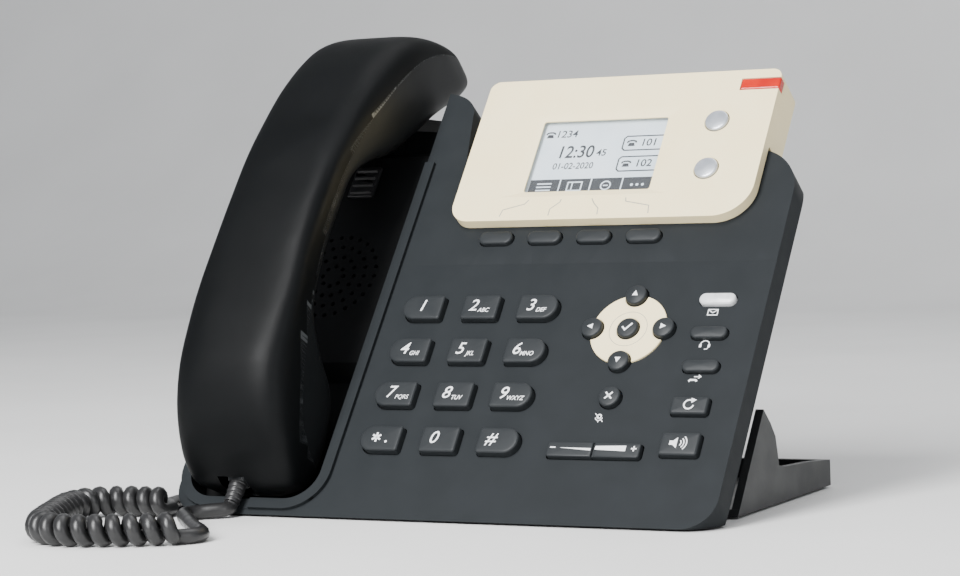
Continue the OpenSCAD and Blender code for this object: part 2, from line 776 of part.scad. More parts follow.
for (k = KEYS) key(k);
for (k = LINES) line_key(k);
volume_rocker();
front_housing();
rear_housing();
display_bezel();
display_window();
lcd_module();
message_lamp();
nav_plate();
hook_switch();
hook_tab();
loudspeaker();
keypad_mat();
main_board();
network_jacks();
power_jack();
handset_jacks();
stand();
rubber_feet();
housing_screws();
handset_back_shell();
handset_front_shell();
handset_receiver();
handset_microphone();
handset_weight();
handset_socket();
handset_plug();
base_plug();
cord_handset_lead();
cord_coil();
cord_base_lead();
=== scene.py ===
import math

import bmesh
import bpy
import numpy as np
from mathutils import Matrix, Vector
from mathutils.geometry import tessellate_polygon


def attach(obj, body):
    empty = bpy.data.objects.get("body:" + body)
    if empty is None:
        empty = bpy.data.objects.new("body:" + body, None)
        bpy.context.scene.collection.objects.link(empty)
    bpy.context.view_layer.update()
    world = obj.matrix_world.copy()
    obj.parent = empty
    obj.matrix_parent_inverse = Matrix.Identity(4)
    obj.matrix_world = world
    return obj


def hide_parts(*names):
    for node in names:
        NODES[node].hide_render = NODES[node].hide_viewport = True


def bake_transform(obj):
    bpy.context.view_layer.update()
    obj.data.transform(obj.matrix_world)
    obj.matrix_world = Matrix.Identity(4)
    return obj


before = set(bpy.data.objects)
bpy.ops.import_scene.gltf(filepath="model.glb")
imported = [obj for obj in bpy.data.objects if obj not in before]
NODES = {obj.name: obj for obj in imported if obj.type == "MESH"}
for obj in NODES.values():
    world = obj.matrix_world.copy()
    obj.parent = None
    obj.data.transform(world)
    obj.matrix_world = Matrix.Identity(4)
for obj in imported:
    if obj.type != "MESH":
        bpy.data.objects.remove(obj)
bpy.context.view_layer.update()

# The desk phone's looks. Lengths are millimetres in the face frame (u across, v up the
# sloping face, w out of it) and become metres as a mesh is made.
MM = 0.001
FACE_TILT = math.radians(52.5)
DEPTH_SHIFT = 64.84
FACE_FOOT = Vector((0.0, -DEPTH_SHIFT * MM, 0.005))
FACE = Matrix.Translation(FACE_FOOT) @ Matrix.Rotation(FACE_TILT, 4, "X")
CAMERA_ANGLES = (26.45, 1.77, -1.78)  # azimuth, elevation and roll, in degrees
CAMERA_PLACE = (0.4299, -0.83344, 0.1165)


# ---------------------------------------------------------------- camera
def make_camera():
    """The photograph's view: from the front right, almost level, slightly rolled."""
    azimuth, elevation, roll = (math.radians(a) for a in CAMERA_ANGLES)
    right = Vector((math.cos(azimuth), math.sin(azimuth), 0))
    ahead = Vector((-math.sin(azimuth) * math.cos(elevation),
                    math.cos(azimuth) * math.cos(elevation), -math.sin(elevation)))
    up = right.cross(ahead)
    side = right * math.cos(roll) + up * math.sin(roll)
    top = up * math.cos(roll) - right * math.sin(roll)
    data = bpy.data.cameras.new("camera")
    data.sensor_width = 36
    data.lens = 96.03
    data.shift_x = -0.0684
    data.shift_y = -0.0297
    camera = bpy.data.objects.new("camera", data)
    bpy.context.scene.collection.objects.link(camera)
    turn = Matrix((side, top, -ahead)).transposed().to_4x4()
    camera.matrix_world = Matrix.Translation(CAMERA_PLACE) @ turn
    bpy.context.scene.camera = camera


# ---------------------------------------------------------------- materials
class Shader:
    """A small helper that builds one procedural material."""

    def __init__(self, name, colour, roughness, **settings):
        self.name = name
        self.material = bpy.data.materials.new("look_" + name)
        self.material.use_nodes = True
        self.tree = self.material.node_tree
        self.bsdf = self.tree.nodes["Principled BSDF"]
        self.bsdf.inputs["Base Color"].default_value = (*colour, 1)
        self.bsdf.inputs["Roughness"].default_value = roughness
        for key, value in settings.items():
            self.bsdf.inputs[key.replace("_", " ")].default_value = value
        self.place = self.tree.nodes.new("ShaderNodeTexCoord").outputs["Object"]
        self.height = None

    def noise(self, scale, detail=3.0, stretch=None):
        """Noise over the object's own coordinates; scale is in features per metre."""
        place = self.place
        if stretch:
            mapping = self.tree.nodes.new("ShaderNodeMapping")
            mapping.inputs["Scale"].default_value = stretch
            self.tree.links.new(place, mapping.inputs["Vector"])
            place = mapping.outputs["Vector"]
        node = self.tree.nodes.new("ShaderNodeTexNoise")
        node.inputs["Scale"].default_value = scale
        node.inputs["Detail"].default_value = detail
        self.tree.links.new(place, node.inputs["Vector"])
        return node.outputs["Fac"]

    def ramp(self, factor, low, high, start=0.35, end=0.65):
        node = self.tree.nodes.new("ShaderNodeMapRange")
        node.inputs["From Min"].default_value = start
        node.inputs["From Max"].default_value = end
        node.inputs["To Min"].default_value = low
        node.inputs["To Max"].default_value = high
        self.tree.links.new(factor, node.inputs["Value"])
        return node.outputs["Result"]

    def mottle(self, scale, dark, light):
        """Base colour that drifts between two tones."""
        node = self.tree.nodes.new("ShaderNodeMix")
        node.data_type = "RGBA"
        node.inputs["A"].default_value = (*dark, 1)
        node.inputs["B"].default_value = (*light, 1)
        factor = self.ramp(self.noise(scale), 0, 1)
        self.tree.links.new(factor, node.inputs["Factor"])
        self.tree.links.new(node.outputs["Result"], self.bsdf.inputs["Base Color"])
        return self

    def uneven_gloss(self, scale, low, high):
        self.tree.links.new(self.ramp(self.noise(scale), low, high),
                            self.bsdf.inputs["Roughness"])
        return self

    def grain(self, scale, strength, distance=0.00004, detail=2.0, stretch=None):
        """Moulded surface texture as bump, over any bump already there."""
        bump = self.tree.nodes.new("ShaderNodeBump")
        bump.inputs["Strength"].default_value = strength
        bump.inputs["Distance"].default_value = distance
        self.tree.links.new(self.noise(scale, detail, stretch), bump.inputs["Height"])
        if self.height:
            self.tree.links.new(self.height, bump.inputs["Normal"])
        self.height = bump.outputs["Normal"]
        self.tree.links.new(self.height, self.bsdf.inputs["Normal"])
        return self


def make_materials():
    """Every finish of the phone, by name."""
    mats = {}

    def keep(shader):
        mats[shader.name] = shader.material

    keep(Shader("housing", (0.016, 0.0185, 0.0205), 0.55, Specular_IOR_Level=0.07)
         .mottle(90, (0.0152, 0.0176, 0.0195), (0.0168, 0.0194, 0.0215))
         .uneven_gloss(140, 0.5, 0.54).grain(2600, 0.35).grain(700, 0.1, 0.00006))
    keep(Shader("rear_housing", (0.014, 0.016, 0.018), 0.55, Specular_IOR_Level=0.1)
         .mottle(35, (0.011, 0.013, 0.015), (0.015, 0.0175, 0.0195))
         .uneven_gloss(60, 0.5, 0.6).grain(2200, 0.4))
    keep(Shader("cradle", (0.0045, 0.0048, 0.0052), 0.6, Specular_IOR_Level=0.12)
         .mottle(50, (0.0038, 0.0041, 0.0044), (0.0055, 0.0059, 0.0063))
         .uneven_gloss(80, 0.42, 0.52).grain(2600, 0.3))
    keep(Shader("handset", (0.062, 0.067, 0.071), 0.42, Coat_Weight=0.45,
                Coat_Roughness=0.38)
         .mottle(60, (0.0605, 0.0655, 0.0695), (0.0635, 0.0685, 0.0725))
         .uneven_gloss(90, 0.35, 0.38).grain(1600, 0.06))
    keep(Shader("handset_inner", (0.006, 0.0068, 0.0074), 0.5, Specular_IOR_Level=0.2)
         .mottle(30, (0.0052, 0.0060, 0.0066), (0.0072, 0.0080, 0.0088))
         .uneven_gloss(40, 0.4, 0.5).grain(2000, 0.2))
    keep(Shader("key", (0.020, 0.0225, 0.0245), 0.4, Specular_IOR_Level=0.16)
         .mottle(120, (0.0185, 0.0210, 0.0230), (0.0215, 0.0240, 0.0260))
         .uneven_gloss(150, 0.34, 0.42).grain(2200, 0.12))
    keep(Shader("legend", (0.86, 0.87, 0.88), 0.5)
         .mottle(900, (0.80, 0.81, 0.82), (0.90, 0.91, 0.92)))
    keep(Shader("bezel", (0.97, 0.83, 0.50), 0.36, Specular_IOR_Level=0.3)
         .mottle(60, (0.965, 0.82, 0.485), (0.975, 0.84, 0.515))
         .uneven_gloss(50, 0.3, 0.38).grain(1800, 0.05))
    keep(Shader("bezel_mark", (0.36, 0.33, 0.27), 0.5)
         .mottle(500, (0.33, 0.30, 0.24), (0.40, 0.37, 0.30)))
    keep(Shader("message_key", (0.62, 0.63, 0.64), 0.22, Coat_Weight=0.6,
                Coat_Roughness=0.12)
         .mottle(300, (0.56, 0.57, 0.58), (0.70, 0.71, 0.72)).grain(1500, 0.05))
    keep(Shader("line_key", (0.50, 0.53, 0.58), 0.24, Metallic=0.55, Coat_Weight=0.4,
                Coat_Roughness=0.15)
         .mottle(300, (0.46, 0.49, 0.54), (0.56, 0.59, 0.64)).grain(3000, 0.08))
    keep(Shader("window", (0.75, 0.80, 0.85), 0.06, Alpha=0.04, Specular_IOR_Level=0.12)
         .uneven_gloss(40, 0.04, 0.09))
    keep(Shader("screen", (0.60, 0.68, 0.74), 0.5, Specular_IOR_Level=0.1,
                Emission_Color=(0.62, 0.72, 0.80, 1), Emission_Strength=0.12)
         .mottle(60, (0.56, 0.645, 0.71), (0.64, 0.71, 0.765)).grain(3500, 0.1))
    keep(Shader("screen_ink", (0.006, 0.007, 0.009), 0.6, Specular_IOR_Level=0.05)
         .mottle(400, (0.005, 0.006, 0.008), (0.009, 0.010, 0.013)))
    keep(Shader("lamp", (0.45, 0.005, 0.0005), 0.2, Coat_Weight=0.3,
                Coat_Roughness=0.05, Emission_Color=(1, 0.02, 0.0, 1),
                Emission_Strength=0.06)
         .mottle(160, (0.42, 0.002, 0.0002), (0.52, 0.012, 0.0006)).grain(900, 0.08))
    keep(Shader("stand", (0.012, 0.013, 0.014), 0.46)
         .mottle(40, (0.010, 0.011, 0.012), (0.016, 0.017, 0.018))
         .uneven_gloss(60, 0.4, 0.5).grain(2200, 0.35))
    keep(Shader("foot", (0.020, 0.020, 0.021), 0.8)
         .mottle(200, (0.017, 0.017, 0.018), (0.026, 0.026, 0.027)).grain(1500, 0.4))
    keep(Shader("cord", (0.013, 0.013, 0.0135), 0.4)
         .mottle(150, (0.011, 0.011, 0.0115), (0.016, 0.016, 0.0165))
         .uneven_gloss(200, 0.3, 0.42).grain(1800, 0.12))
    keep(Shader("plug", (0.10, 0.105, 0.11), 0.15, Transmission_Weight=0.35)
         .mottle(300, (0.08, 0.085, 0.09), (0.13, 0.135, 0.14)).grain(1500, 0.05))
    keep(Shader("gold", (0.80, 0.58, 0.22), 0.25, Metallic=1.0)
         .mottle(800, (0.76, 0.54, 0.19), (0.84, 0.62, 0.26)).grain(3000, 0.1))
    keep(Shader("steel", (0.60, 0.60, 0.61), 0.3, Metallic=1.0)
         .mottle(200, (0.55, 0.55, 0.56), (0.65, 0.65, 0.66))
         .uneven_gloss(300, 0.25, 0.4).grain(2500, 0.15, stretch=(1, 12, 1)))
    keep(Shader("black_plastic", (0.014, 0.014, 0.015), 0.4)
         .mottle(150, (0.012, 0.012, 0.013), (0.019, 0.019, 0.02)).grain(2500, 0.2))
    keep(Shader("board", (0.012, 0.10, 0.035), 0.35)
         .mottle(500, (0.010, 0.085, 0.03), (0.016, 0.12, 0.045)).grain(900, 0.3))
    keep(Shader("silicone", (0.55, 0.55, 0.54), 0.5, Subsurface_Weight=0.2)
         .mottle(200, (0.50, 0.50, 0.49), (0.6, 0.6, 0.59)).grain(1500, 0.2))
    return mats


# ---------------------------------------------------------------- mesh helpers
def unit(a):
    return a / np.linalg.norm(a, axis=-1, keepdims=True)


class Shape:
    """Vertices, faces and a material number for each face."""

    def __init__(self):
        self.verts, self.faces, self.index = [], [], []

    def add(self, verts, faces, material=0):
        start = len(self.verts)
        self.verts += [tuple(map(float, v)) for v in verts]
        self.faces += [tuple(start + i for i in f) for f in faces]
        self.index += [material] * len(faces)
        return self

    def loft(self, rings, material=0, start_cap=True, end_cap=True, closed=True):
        """Rings of equal length joined by quads; they run counter-clockwise about the way."""
        n = len(rings[0])
        verts = [p for ring in rings for p in ring]
        faces = []
        for i in range(len(rings) - 1):
            for k in range(n if closed else n - 1):
                m = (k + 1) % n
                faces.append((i * n + k, i * n + m, (i + 1) * n + m, (i + 1) * n + k))
        last = (len(rings) - 1) * n
        if start_cap:
            faces.append(tuple(reversed(range(n))))
        if end_cap:
            faces.append(tuple(range(last, last + n)))
        return self.add(verts, faces, material)

    def prism(self, outline, low, high, material=0):
        rings = [[(x, y, w) for x, y in outline] for w in (low, high)]
        return self.loft(rings, material)

    def stroke(self, points, width, low, high, material=0, closed=False):
        """A line of that width along points, as a thin slab."""
        p = np.array(points, float)
        if closed:
            ahead, behind = np.roll(p, -1, 0), np.roll(p, 1, 0)
        else:
            ahead = np.vstack([p[1:], 2 * p[-1:] - p[-2:-1]])
            behind = np.vstack([2 * p[:1] - p[1:2], p[:-1]])
        a, b = unit(p - behind), unit(ahead - p)
        na, nb = np.stack([-a[:, 1], a[:, 0]], 1), np.stack([-b[:, 1], b[:, 0]], 1)
        mitre = (na + nb) / np.maximum(1 + (na * nb).sum(1, keepdims=True), 0.35)
        left, right = p + mitre * width / 2, p - mitre * width / 2
        rings = [[(*r, low), (*l, low), (*l, high), (*r, high)]
                 for l, r in zip(left, right)]
        if closed:
            rings.append(rings[0])
        return self.loft(rings, material, not closed, not closed)

    def mesh(self, name, materials, transform=None):
        data = bpy.data.meshes.new(name)
        m = transform or (FACE @ Matrix.Scale(MM, 4))
        data.from_pydata([m @ Vector(v) for v in self.verts], [], self.faces)
        data.polygons.foreach_set("material_index", self.index)
        for material in materials:
            data.materials.append(material)
        return data


def add_piece(name, data, body, replaces=(), smooth_angle=32):
    """Links a mesh as a piece that rides on a body."""
    piece = bpy.data.objects.new(name, data)
    bpy.context.scene.collection.objects.link(piece)
    data.shade_smooth()
    data.set_sharp_from_angle(angle=math.radians(smooth_angle))
    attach(piece, body)
    if replaces:
        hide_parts(*replaces)
    return piece


def face_points(node):
    """A CAD node's vertices in the face frame, in millimetres."""
    data = NODES[node].data
    co = np.zeros(len(data.vertices) * 3)
    data.vertices.foreach_get("co", co)
    back = np.array(FACE.inverted())
    return (co.reshape(-1, 3) @ back[:3, :3].T + back[:3, 3]) / MM


def cap_loops(node, w=None):
    """Border loops of a CAD node's flat face at height w, the outer one first."""
    points = np.round(face_points(node), 3)
    w = points[:, 2].max() if w is None else w
    edges = {}
    for polygon in NODES[node].data.polygons:
        corners = [tuple(points[i]) for i in polygon.vertices]
        if all(abs(c[2] - w) < 0.02 for c in corners):
            for a, b in zip(corners, corners[1:] + corners[:1]):
                if (b[:2], a[:2]) in edges:
                    del edges[(b[:2], a[:2])]
                elif a[:2] != b[:2]:
                    edges[(a[:2], b[:2])] = True
    following = {a: b for a, b in edges}
    loops = []
    while following:
        first = next(iter(following))
        loop, at = [], first
        while at in following:
            loop.append(at)
            at = following.pop(at)
        loops.append(np.array(loop))
    return sorted(loops, key=lambda l: -abs(area(l)))


def area(loop):
    x, y = loop[:, 0], loop[:, 1]
    return 0.5 * float((x * np.roll(y, -1) - y * np.roll(x, -1)).sum())


def inset(loop, distance):
    """A counter-clockwise outline moved inwards."""
    a = unit(loop - np.roll(loop, 1, 0))
    b = unit(np.roll(loop, -1, 0) - loop)
    na, nb = np.stack([a[:, 1], -a[:, 0]], 1), np.stack([b[:, 1], -b[:, 0]], 1)
    mitre = (na + nb) / np.maximum(1 + (na * nb).sum(1, keepdims=True), 0.5)
    return loop - mitre * distance


def arc(centre, radius, start, end, steps=16):
    angles = [math.radians(start + (end - start) * i / steps) for i in range(steps + 1)]
    return [(centre[0] + radius * math.cos(a), centre[1] + radius * math.sin(a))
            for a in angles]


def lifted(loop, w):
    return [(x, y, w) for x, y in loop]


def rounded_edge(radius, top, steps=5):
    """(inset, height) pairs of a rounded upper edge."""
    angles = [math.pi / 2 * i / steps for i in range(steps + 1)]
    return [(radius * (1 - math.cos(a)), top - radius + radius * math.sin(a))
            for a in angles]


# ---------------------------------------------------------------- softened CAD copies
def softened(node, name, material, weight, body="root", width=1.0, segments=3,
             edit=None, second=None):
    """A copy of a CAD node with rounded edges; weight(edge) says how wide, in mm."""
    mesh = bmesh.new()
    mesh.from_mesh(NODES[node].data)
    bmesh.ops.transform(mesh, verts=mesh.verts, matrix=Matrix.Scale(1 / MM, 4) @ FACE.inverted())
    bmesh.ops.remove_doubles(mesh, verts=mesh.verts, dist=0.002)
    bmesh.ops.dissolve_limit(mesh, angle_limit=math.radians(0.6), verts=mesh.verts,
                             edges=mesh.edges)
    if edit:
        edit(mesh)
    layer = mesh.edges.layers.float.new("bevel_weight_edge")
    for edge in mesh.edges:
        if len(edge.link_faces) == 2 and edge.calc_face_angle(0) > math.radians(24):
            edge[layer] = min(1.0, weight(edge) / width)
    bmesh.ops.transform(mesh, verts=mesh.verts, matrix=FACE @ Matrix.Scale(MM, 4))
    data = bpy.data.meshes.new(name)
    mesh.to_mesh(data)
    mesh.free()
    for finish in (material, second):
        if finish:
            data.materials.append(finish)
    piece = add_piece(name, data, body, [node], 40)
    bevel = piece.modifiers.new("edges", "BEVEL")
    bevel.limit_method = "WEIGHT"
    bevel.width = width * MM
    bevel.segments = segments
    bevel.use_clamp_overlap = True
    flat = piece.modifiers.new("normals", "WEIGHTED_NORMAL")
    flat.weight = 90
    flat.keep_sharp = True
    return piece


# ---------------------------------------------------------------- cords
WIRE_D = 5.2
CURL_D = 11.2
CURL_PITCH = 5.9
CURL_STEPS = 18
SOCKET_AT = (-78, 4)
BASE_JACK_AT = (-83, -18.8)
# Points along the floor, measured from the face plane's foot line, as in the CAD.
LEAD_ROUTE = [(-78.6, -8.6, 3.2), (-82.3, -11.3, 3), (-86.2, -14, 2.7),
              (-88.2, -18.5, 2.7), (-85.5, -24, 2.7), (-78.5, -32, 2.7), (-70, -42, 2.7),
              (-62, -51, 2.7), (-55.5, -57.5, 2.7), (-52.6, -62, 2.7),
              (-53.2, -66.8, 2.7), (-57, -70.5, 2.7)]
COIL_ROUTE = [(-57, -70.5), (-66, -75.5), (-77, -80), (-89, -83),
              (-99.5, -81.8), (-107.5, -76), (-114.5, -64), (-120.8, -51), (-127, -38),
              (-130.5, -27), (-128.5, -17.5), (-121, -12.5), (-111.5, -11.8),
              (-101.5, -12)]
BASE_ROUTE = [(-101.5, -12, 2.7), (-101.9, -7.6, 2.7), (-106, -3.6, 2.7),
              (-109.8, 2.5, 2.7), (-111.5, 10, 2.7), (-111.8, 22, 2.7), (-111.8, 34, 2.7),
              (-111.8, 46, 2.7), (-111.8, 58, 2.9), (-111.2, 68, 5.3), (-108, 76, 10.3),
              (-103, 79, 15.7), (-97, 75.5, 16), (-92.5, 64, 15), (-88.5, 52, 14),
              (-85, 42.5, 14.8), (-83.4, 38, 18.4), (-83, 37.6, 22)]


def on_face(u, v, w):
    return np.array(FACE @ (Vector((u, v, w)) * MM)) / MM


def on_floor(route, height=CURL_D / 2):
    return [np.array((p[0], p[1] - DEPTH_SHIFT, p[2] if len(p) > 2 else height), float)
            for p in route]


def spline(points, spacing):
    """A smooth curve through the points, with a point about every spacing."""
    p = np.array(points, float)
    ends = np.vstack([2 * p[:1] - p[1:2], p, 2 * p[-1:] - p[-2:-1]])
    gaps = np.sqrt(np.linalg.norm(np.diff(ends, axis=0), axis=1))
    knots = np.concatenate([[0], np.cumsum(gaps)])
    made = []
    for i in range(1, len(ends) - 2):
        t0, t1, t2, t3 = knots[i - 1:i + 3]
        a, b, c, d = ends[i - 1:i + 3]
        steps = max(2, round(np.linalg.norm(c - b) / spacing))
        for t in np.linspace(t1, t2, steps, endpoint=False):
            ab = (a * (t1 - t) + b * (t - t0)) / (t1 - t0)
            bc = (b * (t2 - t) + c * (t - t1)) / (t2 - t1)
            cd = (c * (t3 - t) + d * (t - t2)) / (t3 - t2)
            abc = (ab * (t2 - t) + bc * (t - t0)) / (t2 - t0)
            bcd = (bc * (t3 - t) + cd * (t - t1)) / (t3 - t1)
            made.append((abc * (t2 - t) + bcd * (t - t1)) / (t2 - t1))
    return np.array(made + [p[-1]])


def helix(axis_points):
    """The wire's line round the curly cord's axis, from its bottom to its bottom."""
    axis = spline(axis_points, 0.5)
    along = np.concatenate([[0], np.cumsum(np.linalg.norm(np.diff(axis, axis=0), axis=1))])
    turns = round(along[-1] / CURL_PITCH)
    radius = (CURL_D - WIRE_D) / 2
    line = []
    for i in range(turns * CURL_STEPS + 1):
        s = along[-1] * i / (turns * CURL_STEPS)
        here = np.array([np.interp(s, along, axis[:, k]) for k in range(3)])
        near = [np.array([np.interp(s + d, along, axis[:, k]) for k in range(3)])
                for d in (-1.5, 1.5)]
        tangent = unit(near[1] - near[0])
        normal = np.array((-tangent[1], tangent[0], 0))
        angle = 2 * math.pi * i / CURL_STEPS - math.pi / 2
        line.append(here + radius * (normal * math.cos(angle)
                                     + np.array((0, 0, 1)) * math.sin(angle)))
    return np.array(line)


def tube(name, line, diameter, material, sides=12):
    """A closed tube along the line, its frame carried along without twist."""
    tangents = unit(np.gradient(line, axis=0))
    normal = unit(np.cross(tangents[0], (0, 0, 1.0)))
    rings = []
    for p, t in zip(line, tangents):
        normal = unit(normal - t * (normal @ t))
        other = np.cross(t, normal)
        rings.append([p + diameter / 2 * (math.cos(a) * normal + math.sin(a) * other)
                      for a in (2 * math.pi * k / sides for k in range(sides))])
    return Shape().loft(rings).mesh(name, [material], Matrix.Scale(MM, 4))


def link_only(name, data):
    piece = bpy.data.objects.new(name, data)
    bpy.context.scene.collection.objects.link(piece)
    data.shade_smooth()
    return piece


def make_cords(mats):
    """The lead to the handset, and the curly part with its lead to the base."""
    plug_end = [on_face(SOCKET_AT[0], v, SOCKET_AT[1]) for v in (-3.05, -4.6)]
    base_end = [on_face(BASE_JACK_AT[0], v, BASE_JACK_AT[1]) for v in (40, 41.95)]
    lead = spline(plug_end + on_floor(LEAD_ROUTE), 1.5)[::-1]
    coil = helix(on_floor(COIL_ROUTE))
    base = spline(on_floor(BASE_ROUTE) + base_end, 1.5)
    lead[:, 2] = np.maximum(lead[:, 2], WIRE_D / 2)
    whole = np.vstack([coil, base[1:]])[::-1]
    whole[:, 2] = np.maximum(whole[:, 2], WIRE_D / 2)

    handset_lead = link_only("handset_lead", tube("handset_lead", lead, WIRE_D,
                                                  mats["cord"]))
    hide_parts("cord_handset_lead")
    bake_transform(handset_lead)

    curly = link_only("curly_cord", tube("curly_cord", whole, WIRE_D, mats["cord"], 10))
    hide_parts("cord_coil", "cord_base_lead")
    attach(curly, "root")


def make_plug(name, node, at, tail, body_length, body, mats):
    """A modular plug: ribbed boot, chamfered clear body, latch and four contacts."""
    x, w = at
    shape = Shape()
    rings = []
    for i in range(25):
        s = i / 24
        groove = 0.28 if i % 6 in (3, 4) and 1 < i < 23 else 0.0
        radius = WIRE_D / 2 + 0.2 + 0.55 * s - groove
        rings.append([(x + radius * math.cos(a), tail + 8 * s, w - radius * math.sin(a))
                      for a in (2 * math.pi * k / 20 for k in range(20))])
    shape.loft(rings, 0)
    start, stop = tail + 8, tail + 8 + body_length
    outline = [(-3.2, -2.6), (-2.7, -3.1), (2.7, -3.1), (3.2, -2.6),
               (3.2, 2.6), (2.7, 3.1), (-2.7, 3.1), (-3.2, 2.6)]
    rings = [[(x + px * s, v, w - pw * s) for px, pw in outline]
             for v, s in ((start, 0.93), (start + 0.5, 1), (stop - 0.5, 1), (stop, 0.93))]
    shape.loft(rings, 1)
    for i in range(4):
        u = x - 1.65 + 1.1 * i
        shape.loft([[(u - 0.2, v, w + 3.1), (u + 0.2, v, w + 3.1),
                     (u + 0.2, v, w + 2.0), (u - 0.2, v, w + 2.0)]
                    for v in (stop - 4, stop - 0.7)], 2)
    shape.loft([[(x - 1.5, v, w - 3.1 - d), (x + 1.5, v, w - 3.1 - d),
                 (x + 1.5, v, w - 3.7 - d), (x - 1.5, v, w - 3.7 - d)][::-1]
                for v, d in ((start + 0.6, 0.6), (start + 4, 0.3), (stop - 0.8, 0.0))], 1)
    data = shape.mesh(name, [mats["black_plastic"], mats["plug"], mats["gold"]])
    return add_piece(name, data, body, [node])


# ---------------------------------------------------------------- handset
HANDSET_X = -76
# Points of the back and the front, [v, w] each, and the half width, from the mouth end.
SECTIONS = [
    ((3.8, 1), (6.5, -5.5), 15), ((3.6, 6.5), (10.5, -8), 20.3),
    ((6, 13.8), (17, -9.2), 22.6), ((11, 22.5), (28, -9.4), 23.6),
    ((20.5, 32.2), (38, -8.4), 23.8), ((33.5, 39.3), (47, -3), 23.6),
    ((49, 42.6), (54, 11), 22.8), ((64, 44.2), (64, 23.5), 21.9),
    ((84, 46), (84, 27.8), 20.8), ((104, 46.6), (104, 28.6), 20.6),
    ((124, 46), (122, 28), 20.9), ((142, 44), (135, 20), 21.6),
    ((159, 40.8), (148, 8.5), 22.7), ((175.5, 35.4), (163, -0.5), 23.3),
    ((188.5, 28.7), (178.5, -8.6), 23.6), ((198.5, 19.7), (190.5, -16.2), 23.4),
    ((205.5, 9), (200.2, -22.1), 22.8), ((210, -1.5), (206.5, -24), 21),
    ((212.5, -9.5), (210.5, -21.8), 16.5)]
SEAM = [(212, -14), (208.7, -8.3), (200, 5.2), (190.5, 14.7), (180, 21.3),
        (166, 27.2), (148, 33), (124, 36.5), (98, 35.4), (60, 29.5), (40, 23.5),
        (28.7, 17.7), (23.8, 13.3), (19, 5.6), (16.5, -3)]
ROUNDNESS = 0.46


def handset_rings():
    """Smooth superellipse sections along the handset, with rounded ends."""
    table = np.array([[*b, *f, h] for b, f, h in SECTIONS], float)
    dense = spline(table, 2.2)
    ends = [(1.0, 0.0), (0.93, 0.45), (0.78, 0.85), (0.5, 1.1), (0.2, 1.2)]
    rings = []
    for row in dense:
        rings.append(handset_ring(row, 1.0, (0, 0)))
    first, second = dense[0], dense[1]
    last, before = dense[-1], dense[-2]
    for scale, bulge in ends[1:]:
        rings.insert(0, handset_ring(first, scale, out_of_end(first, second, bulge)))
        rings.append(handset_ring(last, scale, out_of_end(last, before, bulge)))
    return rings


def out_of_end(row, inner, distance):
    middle, behind = (row[:2] + row[2:4]) / 2, (inner[:2] + inner[2:4]) / 2
    return unit(middle - behind) * distance


def handset_ring(row, scale, shift, sides=72):
    back, front, half_width = row[:2], row[2:4], row[4] * scale
    middle, half = (back + front) / 2 + shift, np.linalg.norm(back - front) / 2 * scale
    way = unit(back - front)
    ring = []
    for k in range(sides):
        a = 2 * math.pi * k / sides
        across = math.copysign(abs(math.cos(a)) ** ROUNDNESS, math.cos(a))
        up = math.copysign(abs(math.sin(a)) ** ROUNDNESS, math.sin(a))
        v, w = middle + way * half * up
        ring.append((HANDSET_X - half_width * across, v, w))
    return ring


def seam_prism(gap):
    """Everything on the back shell's side of the seam."""
    outline = [(16, -31), (-12, -31), (-12, 72), (230, 72), (230, -14.1)]
    outline += [(v, w - gap) for v, w in SEAM]
    shape = Shape()
    rings = [[(u, v, w) for v, w in outline] for u in (HANDSET_X - 40, HANDSET_X + 40)]
    return shape.loft(rings)


def block(x0, x1, y0, y1, z0, z1):
    ring = [(x0, y0), (x1, y0), (x1, y1), (x0, y1)]
    return Shape().prism(ring, z0, z1)


def applied(data, cutters):
    """The mesh after exact booleans; cutters are (shape, operation)."""
    target = bpy.data.objects.new("target", data)
    bpy.context.scene.collection.objects.link(target)
    helpers = []
    for i, (shape, operation) in enumerate(cutters):
        cutter = bpy.data.objects.new(f"cutter{i}", shape.mesh(f"cutter{i}", []))
        bpy.context.scene.collection.objects.link(cutter)
        helpers.append(cutter)
        modifier = target.modifiers.new(f"cut{i}", "BOOLEAN")
        modifier.operation = operation
        modifier.solver = "EXACT"
        modifier.object = cutter
    bpy.context.view_layer.update()
    graph = bpy.context.evaluated_depsgraph_get()
    result = bpy.data.meshes.new_from_object(target.evaluated_get(graph))
    for helper in helpers + [target]:
        bpy.data.objects.remove(helper)
    return result


def make_handset(mats):
    x, w = SOCKET_AT
    socket = block(x - 5.7, x + 5.7, -20, 21.2, w - 7.2, w + 5.8)
    form = Shape().loft(handset_rings())
    back = applied(form.mesh("handset_back", [mats["handset"]]),
                   [(seam_prism(0), "INTERSECT"), (socket, "DIFFERENCE")])
    front = applied(form.mesh("handset_front", [mats["handset_inner"]]),
                    [(seam_prism(0.25), "DIFFERENCE"), (socket, "DIFFERENCE")])
    for name, data, node, slot in (
            ("handset_back", back, "handset_back_shell", "handset_plastic"),
            ("handset_front", front, "handset_front_shell", "cradle_plastic")):
        data.name = name
        add_piece(name, data, "handset", [node], 38)


